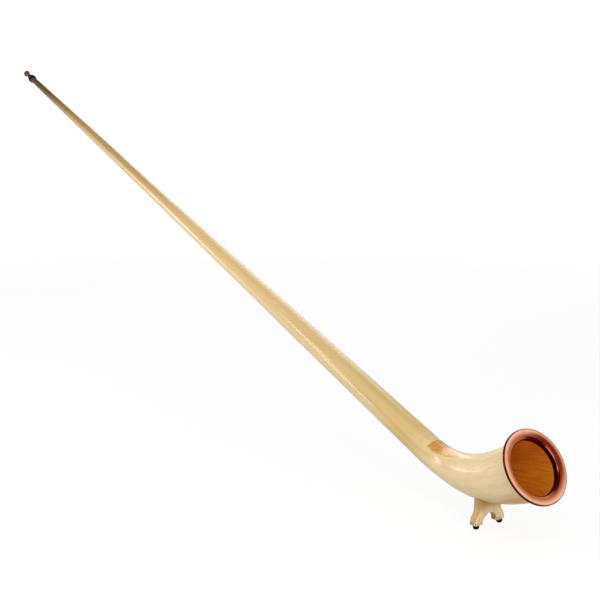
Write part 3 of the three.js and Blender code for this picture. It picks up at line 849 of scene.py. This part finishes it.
def carve_paws(mesh):
    """Rounds the two paws in plan and cuts the grooves between their toes."""
    places = np.empty(len(mesh.vertices) * 3)
    mesh.vertices.foreach_get("co", places)
    places = places.reshape(-1, 3)
    low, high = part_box("foot_board")
    half = np.array([(high.x - low.x) / 2, (TOE_OUTER - TOE_INNER) / 2])
    side = np.sign(places[:, 1])
    along = np.full(len(places), (low.x + high.x) / 2)
    middle = np.stack([along, side * (TOE_OUTER + TOE_INNER) / 2], 1)
    local = (places[:, :2] - middle) / half
    square = np.maximum(np.abs(local).max(1), TINY)
    rounded = np.power((np.abs(local) ** PAW_SQUARENESS).sum(1), 1 / PAW_SQUARENESS)
    angle = np.arctan2(local[:, 1] * side, local[:, 0])
    ridge = np.abs(np.sin(angle * TOES_AROUND / 2))
    height = places[:, 2] - low.z
    fade = np.clip((PAW_HEIGHT - height) / PAW_FADE, 0, 1)
    fade = fade * fade * (3 - 2 * fade)
    toe_top = np.clip((TOE_LENGTH + ridge * TOE_ARCH - height) / TOE_ARCH, 0, 1)
    sole = np.clip(1 - height / SOLE_ROUND, 0, 1) ** 2
    near = np.clip((square - PAW_CORE) / PAW_EDGE, 0, 1)
    shrink = fade * (1 - square / rounded) + toe_top * TOE_GROOVE * (1 - ridge) / half.mean()
    shrink += sole * SOLE_TUCK / half.mean()
    places[:, :2] -= local * half * (shrink * near)[:, None]
    mesh.vertices.foreach_set("co", places.ravel())
    mesh.update()


def build_foot():
    low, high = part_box("foot_board")
    outline = foot_outline()
    count = len(outline)
    vertices = [Vector((x, y, z)) for x in (low.x, high.x) for y, z in outline]
    faces = [tuple(range(count)), tuple(range(count, 2 * count))] + bands(2, count)
    piece = new_piece("foot_carved", vertices, faces, "bell_section", ["foot_board"], "foot_wood")
    skin = bell_skin()
    cut = piece.modifiers.new("seat", "BOOLEAN")
    cut.operation = "DIFFERENCE"
    cut.solver = "EXACT"
    cut.object = skin
    even = piece.modifiers.new("even", "REMESH")
    even.mode = "VOXEL"
    even.voxel_size = FOOT_VOXEL
    soften = piece.modifiers.new("soften", "SMOOTH")
    soften.factor = SMOOTHING_FACTOR
    soften.iterations = FOOT_SMOOTHING
    applied(piece)
    bpy.data.objects.remove(skin)
    carve_paws(piece.data)
    piece.data.shade_smooth()
    places = [(v.co.z, v.co.x - feet_middle.x, v.co.y) for v in piece.data.vertices]
    set_grain(piece.data, places)


def build_rubber_feet():
    dome = [(RUBBER_RADIUS * wide, RUBBER_HEIGHT * high) for wide, high in DOME]
    outline = [(0, 0)] + smooth_line(dome, PROFILE_STEPS) + [
        (STEM_RADIUS, RUBBER_HEIGHT),
        (STEM_RADIUS, rubber_high.z - STEM_BEVEL),
        (STEM_RADIUS - STEM_BEVEL, rubber_high.z),
        (0, rubber_high.z),
    ]
    for word, sign in (("left", 1), ("right", -1)):
        spot = feet_middle + sideways * (sign * feet_spread / 2)
        lathe(
            f"rubber_dome_{word}", outline, standing(spot),
            "bell_section", [f"rubber_foot_{word}"], "black_rubber",
        )


def build_dowels():
    for word in ("left", "right"):
        low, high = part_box(f"foot_dowel_{word}")
        spot = Vector(((low.x + high.x) / 2, (low.y + high.y) / 2, low.z))
        radius = (high.y - low.y) / 2
        length = high.z - low.z
        bevel = radius * DOWEL_BEVEL
        outline = [
            (0, 0), (radius - bevel, 0), (radius, bevel),
            (radius, length - bevel), (radius - bevel, length), (0, length),
        ]
        lathe(f"dowel_{word}", outline, standing(spot), "bell_section", [f"foot_dowel_{word}"], "foot_wood")


# Materials

def add(tree, kind, inputs=None, **settings):
    """A new shader node; an input may be a value or another node's socket."""
    made = tree.nodes.new(f"ShaderNode{kind}")
    for name, value in settings.items():
        setattr(made, name, value)
    for name, value in (inputs or {}).items():
        if isinstance(value, bpy.types.NodeSocket):
            tree.links.new(value, made.inputs[name])
        else:
            made.inputs[name].default_value = value
    return made


def link(socket, node, name):
    node.id_data.links.new(socket, node.inputs[name])


def calc(operation, *values):
    """A sum. Like the helpers below, it works in the node tree of its first socket."""
    inputs = dict(enumerate(values))
    return add(values[0].id_data, "Math", inputs, operation=operation).outputs[0]


def scaled(value, factor, base):
    """A value times a factor, plus a base."""
    return calc("MULTIPLY_ADD", value, factor, base)


def times(product, *factors):
    for factor in factors:
        product = calc("MULTIPLY", product, factor)
    return product


def split(vector):
    """The X, Y and Z of a vector; of a place in the grown wood they are along, up and out."""
    return add(vector.id_data, "SeparateXYZ", {0: vector}).outputs


def noise(vector, stretch, detail=2.0):
    """Noise between about 0.3 and 0.7, with its own scale along each axis."""
    tree = vector.id_data
    place = add(tree, "VectorMath", {0: vector, 1: stretch}, operation="MULTIPLY").outputs[0]
    return add(tree, "TexNoise", {"Vector": place, "Scale": 1.0, "Detail": detail}).outputs[0]


def ragged(vector, stretch, detail, width):
    """Noise around zero, which makes the edge of a zone uneven."""
    return scaled(noise(vector, stretch, detail), width, -width / 2)


def spread(value, low, high, to_low=0.0, to_high=1.0, kind="SMOOTHSTEP"):
    """Maps a range of a value to another range."""
    inputs = {0: value, 1: low, 2: high, 3: to_low, 4: to_high}
    return add(value.id_data, "MapRange", inputs, interpolation_type=kind).outputs[0]


def zone(sockets, ranges):
    """The product of what spread makes of each socket and its range."""
    return times(*(spread(socket, *limits) for socket, limits in zip(sockets, ranges)))


def blend(factor, first, second, kind="MIX"):
    inputs = {0: factor, 6: first, 7: second}
    return add(factor.id_data, "Mix", inputs, data_type="RGBA", blend_type=kind).outputs[2]


def colour(red, green, blue):
    """A display colour, 0 to 255, as the linear values that a shader takes."""
    values = []
    for value in (red, green, blue):
        share = value / 255
        values.append(share / 12.92 if share <= 0.04045 else ((share + 0.055) / 1.055) ** 2.4)
    return (*values, 1.0)


def stain(amount, tone, shade):
    """Multiplies a tone by a display colour."""
    return blend(amount, tone, colour(*shade), "MULTIPLY")


def stained(grain, tone, stretch, detail, low, high, shade, amount):
    """A tone with a figure in it, and where the figure shows."""
    mask = spread(noise(grain, stretch, detail), low, high)
    return stain(times(mask, amount), tone, shade), mask


def ramp(factor, stops):
    """A colour ramp through (place, display colour) stops, with places from 0 to 1."""
    made = add(factor.id_data, "ValToRGB", {"Fac": factor})
    elements = made.color_ramp.elements
    while len(elements) < len(stops):
        elements.new(1.0)
    for element, (place, shade) in zip(elements, stops):
        element.position = place
        element.color = colour(*shade)
    return made.outputs[0]


def from_axis(up, out):
    """Distance from the axis that the wood or the ring is laid around."""
    return calc("SQRT", calc("ADD", times(up, up), times(out, out)))


def angle_around(grain):
    """Angle around the horn, from 0 on its upper side to pi on its underside."""
    _, up, out = split(grain)
    return calc("ABSOLUTE", calc("ARCTAN2", out, up))


def new_material(name, roughness, metallic=0.0, coat=0.0, coat_roughness=0.1, specular=0.5):
    material = bpy.data.materials.new(name)
    material.use_nodes = True
    tree = material.node_tree
    shader = tree.nodes["Principled BSDF"]
    for socket, value in (
        ("Roughness", roughness),
        ("Metallic", metallic),
        ("Specular IOR Level", specular),
        ("Coat Weight", coat),
        ("Coat Roughness", coat_roughness),
    ):
        shader.inputs[socket].default_value = value
    grain = add(tree, "Attribute", attribute_name="grain_place").outputs["Vector"]
    return material, shader, grain


def finish_look(shader, tone, height=None, bump=0.0):
    """Gives a material its colour, and a bump where a height is given."""
    link(tone, shader, "Base Color")
    if height is not None:
        inputs = {"Height": height, "Strength": bump, "Distance": BUMP_DISTANCE}
        link(add(shader.id_data, "Bump", inputs).outputs[0], shader, "Normal")


def growth_rings(grain):
    """Waves around a pith beside the horn, between 0 and 1."""
    _, up, out = split(grain)
    up = calc("ADD", up, -PITH[0])
    out = calc("ADD", out, -PITH[1])
    shift = noise(grain, (1.6, 22.0, 22.0), 3.0)
    distance = scaled(shift, GROWTH_WOBBLE, from_axis(up, out))
    turns = times(distance, 2 * math.pi / GROWTH_SPACING)
    return scaled(calc("SINE", turns), 0.5, 0.5)


def spruce_material():
    """Clear gloss over pale spruce, darkening to olive brown toward the mouthpiece as painted shade."""
    material, shader, grain = new_material(
        "spruce_lacquered", roughness=0.5, coat_roughness=0.11, specular=0.05
    )
    along, _, _ = split(grain)
    place = spread(along, SPRUCE_FROM, SPRUCE_TO, kind="LINEAR")
    length = SPRUCE_TO - SPRUCE_FROM
    # The tones darken toward the mouthpiece as painted shade
    tone = ramp(place, [((spot - SPRUCE_FROM) / length, shade) for spot, shade in SPRUCE_TONES_AND_SHADE])
    rings = times(growth_rings(grain), GROWTH_AMOUNT)
    tone = blend(rings, tone, colour(*GROWTH_TONE))
    tone, _ = stained(grain, tone, *STREAKS)
    tone, fibres = stained(grain, tone, *FIBRES)
    tone, _ = stained(grain, tone, *MOTTLE)
    for surface_layer in (cross_bands, shaded_back_lit_flank, end_grain, shaded_belly):
        tone = surface_layer(grain, along, tone)
    link(spread(along, *COAT), shader, "Coat Weight")
    finish_look(shader, tone, fibres, bump=0.1)
    return material


def cross_bands(grain, along, tone):
    """Faint cross bands near the mouthpiece, growing toward it."""
    return stained(grain, tone, *CROSS_BANDS, spread(along, *CROSS_BAND_FADE))[0]


def shaded_back_lit_flank(grain, along, tone):
    """The straight tubes: painted shade on their upper side, darker and yellower, and painted light on
    their flanks, paler.
    """
    angle = angle_around(grain)
    # Painted shade, darker and yellower, on the upper side
    tone = stain(zone((angle, along, along), BACK), tone, BACK_SHADE)
    # Painted light, paler, on the flanks
    return blend(zone((along, along, angle), FLANK), tone, colour(*FLANK_LIGHT))


def end_grain(grain, along, tone):
    """Amber end grain where the inside of the bend cuts across the fibres."""
    edge = ragged(grain, (160.0, 260.0, 260.0), 3.0, PATCH_RAGGED)
    angle = calc("ADD", angle_around(grain), edge)
    widest = spread(along, PATCH_WIDE, PATCH_TIP, PATCH_HALF_ANGLE, PATCH_TIP_ANGLE)
    hollow = spread(along, PATCH_HOLLOW, PATCH_TIP, PATCH_HOLLOW_ANGLE, PATCH_TIP_ANGLE)
    inside = calc("SUBTRACT", widest, angle)
    mask = zone((inside, calc("SUBTRACT", angle, hollow), along, along), PATCH)
    pale = zone((along, inside), PATCH_PALE)
    amber = blend(pale, colour(*PATCH_AMBER), colour(*PATCH_LIGHT))
    amber, _ = stained(grain, amber, *SPECKLE)
    swirl = scaled(noise(grain, (40.0, 60.0, 60.0)), PATCH_SWIRL, along)
    rings = calc("SINE", times(swirl, 2 * math.pi / PATCH_RING_SPACING))
    amber = stain(spread(rings, *PATCH_RINGS), amber, PATCH_RING_SHADE)
    return blend(mask, tone, amber)


def shaded_belly(grain, along, tone):
    """Painted shade on the underside of the bell, darker and warmer there."""
    edge = ragged(grain, (14.0, 16.0, 16.0), 2.0, BELLY_RAGGED)
    angle = calc("ADD", angle_around(grain), edge)
    # Painted shade under the bell
    return stain(zone((angle, along), BELLY), tone, BELLY_SHADE)


def bore_material():
    """The bare inside: amber, with fine wavy grain and painted shade toward the top of the bell."""
    material, shader, _ = new_material("spruce_bore", roughness=0.5, specular=0.12)
    tree = shader.id_data
    x, y, z = split(add(tree, "TexCoord").outputs["Object"])
    height = scaled(x, -BOARD_SLOPE, z)
    board = add(tree, "CombineXYZ", {0: x, 1: y, 2: height}).outputs[0]
    level = scaled(noise(board, (11.0, 14.0, 22.0)), BOARD_WARP, height)
    waves = calc("SINE", times(level, 2 * math.pi / BOARD_WAVE_LENGTH))
    figure = scaled(waves, BOARD_WAVE_AMOUNT, noise(board, (22.0, 22.0, 420.0), 3.0))
    tone = ramp(figure, BORE_TONES)
    # Painted shade, darker toward the top of the bell and above it
    finish_look(shader, stain(spread(z, *BELL_ROOF_SHADE), tone, (214, 196, 170)))
    return material


def copper_material():
    """Spun copper: bright on the lip, painted light on one side, painted shade on the other, in the throat
    and behind the edge.
    """
    material, shader, grain = new_material("copper_spun", roughness=0.2, metallic=1.0)
    shader.inputs["Specular Tint"].default_value = colour(*COPPER_GLINT)
    depth, up, out = split(grain)
    radius = from_axis(up, out)
    # The ramp paints shade and a dark reflection in the throat, a thin highlight past it and shade at the
    # edge
    tone = ramp(spread(radius, RING_THROAT_RADIUS, RING_RADIUS, kind="LINEAR"), COPPER_TONES_LIT_AND_SHADED)
    # Painted shade behind the rolled edge
    tone = blend(zone((depth, radius), COPPER_SHADE_BEHIND), tone, colour(58, 20, 12))
    dusky, deep_shade = (
        calc("DIVIDE", scaled(up, side[0], times(out, side[1])), radius)
        for side in (DUSKY_SIDE, DEEP_SHADE_SIDE)
    )
    # Painted light: the inner part of the ring paler on the side away from the shade
    tone = blend(zone((dusky, radius, radius), COPPER_LIT_SIDE), tone, colour(186, 115, 70))
    # Painted shade on one side of the ring
    tone = stain(spread(dusky, *COPPER_DUSK), tone, (190, 150, 136))
    # Deeper painted shade in a band around the lip on that side
    tone = stain(zone((deep_shade, radius, radius), COPPER_DEEP_SHADE), tone, (180, 124, 74))
    # Painted shade on the throat wall on that side
    tone = stain(zone((dusky, dusky, radius, radius), COPPER_WALL_SHADE), tone, (150, 62, 26))
    tone, _ = stained(grain, tone, *TARNISH)
    lines = calc("SINE", times(radius, TURNING_LINES))
    finish_look(shader, tone, spread(lines, -1.0, 1.0), bump=0.06)
    return material


def turned_wood(name, dark, light, coat):
    """Turned wood with its fibres along the horn."""
    material, shader, grain = new_material(
        name, roughness=0.45, coat=coat, coat_roughness=0.2, specular=0.05
    )
    fibres = noise(grain, (60.0, 520.0, 520.0), 4.0)
    finish_look(shader, ramp(fibres, ((0.35, dark), (0.65, light))), fibres, bump=0.2)
    return material


def foot_material():
    """Pale carved wood with upright fibres, darker on the outer faces of its legs, with painted shade
    inside the arch and under the bell.
    """
    material, shader, grain = new_material(
        "foot_carved_wood", roughness=0.5, coat=0.25, coat_roughness=0.25, specular=0.15
    )
    height, _, out = split(grain)
    fibres = noise(grain, (40.0, 300.0, 300.0), 3.0)
    stripes = noise(grain, (14.0, 60.0, 60.0))
    tone = ramp(stripes, ((0.3, (234, 214, 182)), (0.7, (218, 190, 148))))
    tone = stain(times(spread(fibres, 0.35, 0.68), 0.2), tone, (190, 140, 92))
    tone, _ = stained(grain, tone, *FOOT_FLECKS, spread(height, *FLECKS_LOW))
    _, slope, _ = split(add(shader.id_data, "TexCoord").outputs["Normal"])
    outward = times(slope, calc("SIGN", out))
    tone = stain(spread(outward, *FOOT_SIDE), tone, (211, 192, 154))
    # Painted shade on the inner sides of the arch
    tone = stain(spread(outward, *FOOT_ARCH_SHADE), tone, (186, 150, 96))
    # Painted shade on the foot under the bell
    tone = stain(zone((height, outward), FOOT_SHADE_UNDER_BELL), tone, (200, 172, 116))
    finish_look(shader, tone, fibres, bump=0.2)
    return material


def metal_material(name, shade, roughness):
    """Turned metal with fine tool marks around it."""
    material, shader, grain = new_material(name, roughness, metallic=1.0)
    marks = noise(grain, (2600.0, 8.0, 8.0))
    tone = stain(times(marks, 0.25), colour(*shade), (90, 90, 90))
    finish_look(shader, tone, marks, bump=0.1)
    return material


def rubber_material():
    material, shader, grain = new_material("rubber_black", roughness=0.65, specular=0.04)
    specks = noise(grain, (900.0, 900.0, 900.0))
    finish_look(shader, ramp(specks, ((0.3, (10, 8, 6)), (0.7, (18, 15, 12)))))
    return material


def dress_pieces():
    by_slot = {
        "lacquered_spruce": [spruce_material(), bore_material()],
        "foot_wood": [foot_material()],
        "dark_wood": [turned_wood("dark_wood_turned", (18, 5, 3), (44, 20, 13), 0.06)],
        "mouthpiece_wood": [turned_wood("mouthpiece_wood_turned", (74, 59, 28), (101, 83, 45), 0.04)],
        "bell_copper": [copper_material()],
        "receiver_metal": [metal_material("brass_turned", (222, 190, 118), 0.28)],
        "joint_metal": [metal_material("aluminium_turned", (222, 223, 226), 0.3)],
        "black_rubber": [rubber_material()],
    }
    for slot, pieces in slot_pieces.items():
        for piece in pieces:
            for material in by_slot[slot]:
                piece.data.materials.append(material)


# Camera, light and floor

def build_camera():
    camera = linked("camera", bpy.data.cameras.new("camera"))
    camera.data.sensor_width = SENSOR_WIDTH
    camera.data.lens = SENSOR_WIDTH * FOCAL_PIXELS / IMAGE_PIXELS
    camera.data.clip_end = VIEW_LENGTH
    camera.location = feet_middle + EYE_FROM_FEET
    camera.rotation_euler = (math.pi / 2 - CAMERA_PITCH, 0, CAMERA_AZIMUTH)
    bpy.context.scene.camera = camera


def seen_directly(tree):
    """1 for what the camera sees, directly or in metal and gloss, and 0 for soft light."""
    path = add(tree, "LightPath")
    seen = calc("MAXIMUM", path.outputs["Is Camera Ray"], path.outputs["Is Glossy Ray"])
    return calc("MAXIMUM", seen, path.outputs["Is Transmission Ray"])


def build_world():
    """A sky that looks white and lights softly."""
    world = bpy.data.worlds.new("studio")
    world.use_nodes = True
    bpy.context.scene.world = world
    tree = world.node_tree
    background = tree.nodes["Background"]
    background.inputs["Color"].default_value = WHITE
    link(scaled(seen_directly(tree), 1 - SKY_LIGHT, SKY_LIGHT), background, "Strength")


def build_floor():
    """A white floor that takes a faint shadow."""
    mesh = bpy.data.meshes.new("floor")
    half = FLOOR_HALF_SIZE
    corners = [(-half, -half, 0), (half, -half, 0), (half, half, 0), (-half, half, 0)]
    mesh.from_pydata(corners, [], [(0, 1, 2, 3)])
    floor = linked("floor", mesh)
    material = bpy.data.materials.new("floor_white")
    material.use_nodes = True
    tree = material.node_tree
    tree.nodes.clear()
    seen = seen_directly(tree)
    tone = blend(seen, (FLOOR_BOUNCE, FLOOR_BOUNCE, FLOOR_BOUNCE, 1), WHITE)
    matte = add(tree, "BsdfDiffuse", {"Color": tone}).outputs[0]
    glow = add(tree, "Emission", {"Color": WHITE, "Strength": 1.0}).outputs[0]
    place = add(tree, "TexCoord").outputs["Object"]
    distance = add(tree, "VectorMath", {0: place}, operation="LENGTH").outputs["Value"]
    share = spread(distance, FLOOR_SHADOW_REACH, FLOOR_WHITE_FROM, FLOOR_GLOW, 1.0)
    mixed = add(tree, "MixShader", {0: times(seen, share), 1: matte, 2: glow}).outputs[0]
    link(mixed, add(tree, "OutputMaterial"), "Surface")
    mesh.materials.append(material)


def build_softbox(name, middle, place, width, height, radiance, soft):
    """An area lamp that faces a place along the horn; one that isn't soft is seen only in gloss."""
    lamp = bpy.data.lights.new(name, "AREA")
    lamp.shape = "RECTANGLE"
    lamp.size = width
    lamp.size_y = height
    lamp.energy = radiance * math.pi * width * height
    middle = Vector(middle)
    facing = (middle - horn @ Vector((place, 0, 0))).normalized()
    level = upright.cross(facing).normalized()
    box = linked(name, lamp)
    box.matrix_world = axes_matrix(middle, level, facing.cross(level), facing)
    box.visible_camera = False
    box.visible_diffuse = soft


bpy.context.scene.view_settings.view_transform = "Standard"
build_camera()
build_world()
build_floor()
for values in SOFTBOXES:
    build_softbox(*values, soft=True)
for values in GLOSS_CARDS:
    build_softbox(*values, soft=False)
build_tubes()
build_bell()
build_ring()
build_mouthpiece()
build_collar()
build_bush()
build_joint("bell_joint", BELL_JOINT_BORE, "bell_section", "bell_joint_seals", "middle_section")
build_joint("hand_joint", HAND_JOINT_BORE, "middle_section", "hand_joint_seals", "hand_section")
build_foot()
build_rubber_feet()
build_dowels()
dress_pieces()
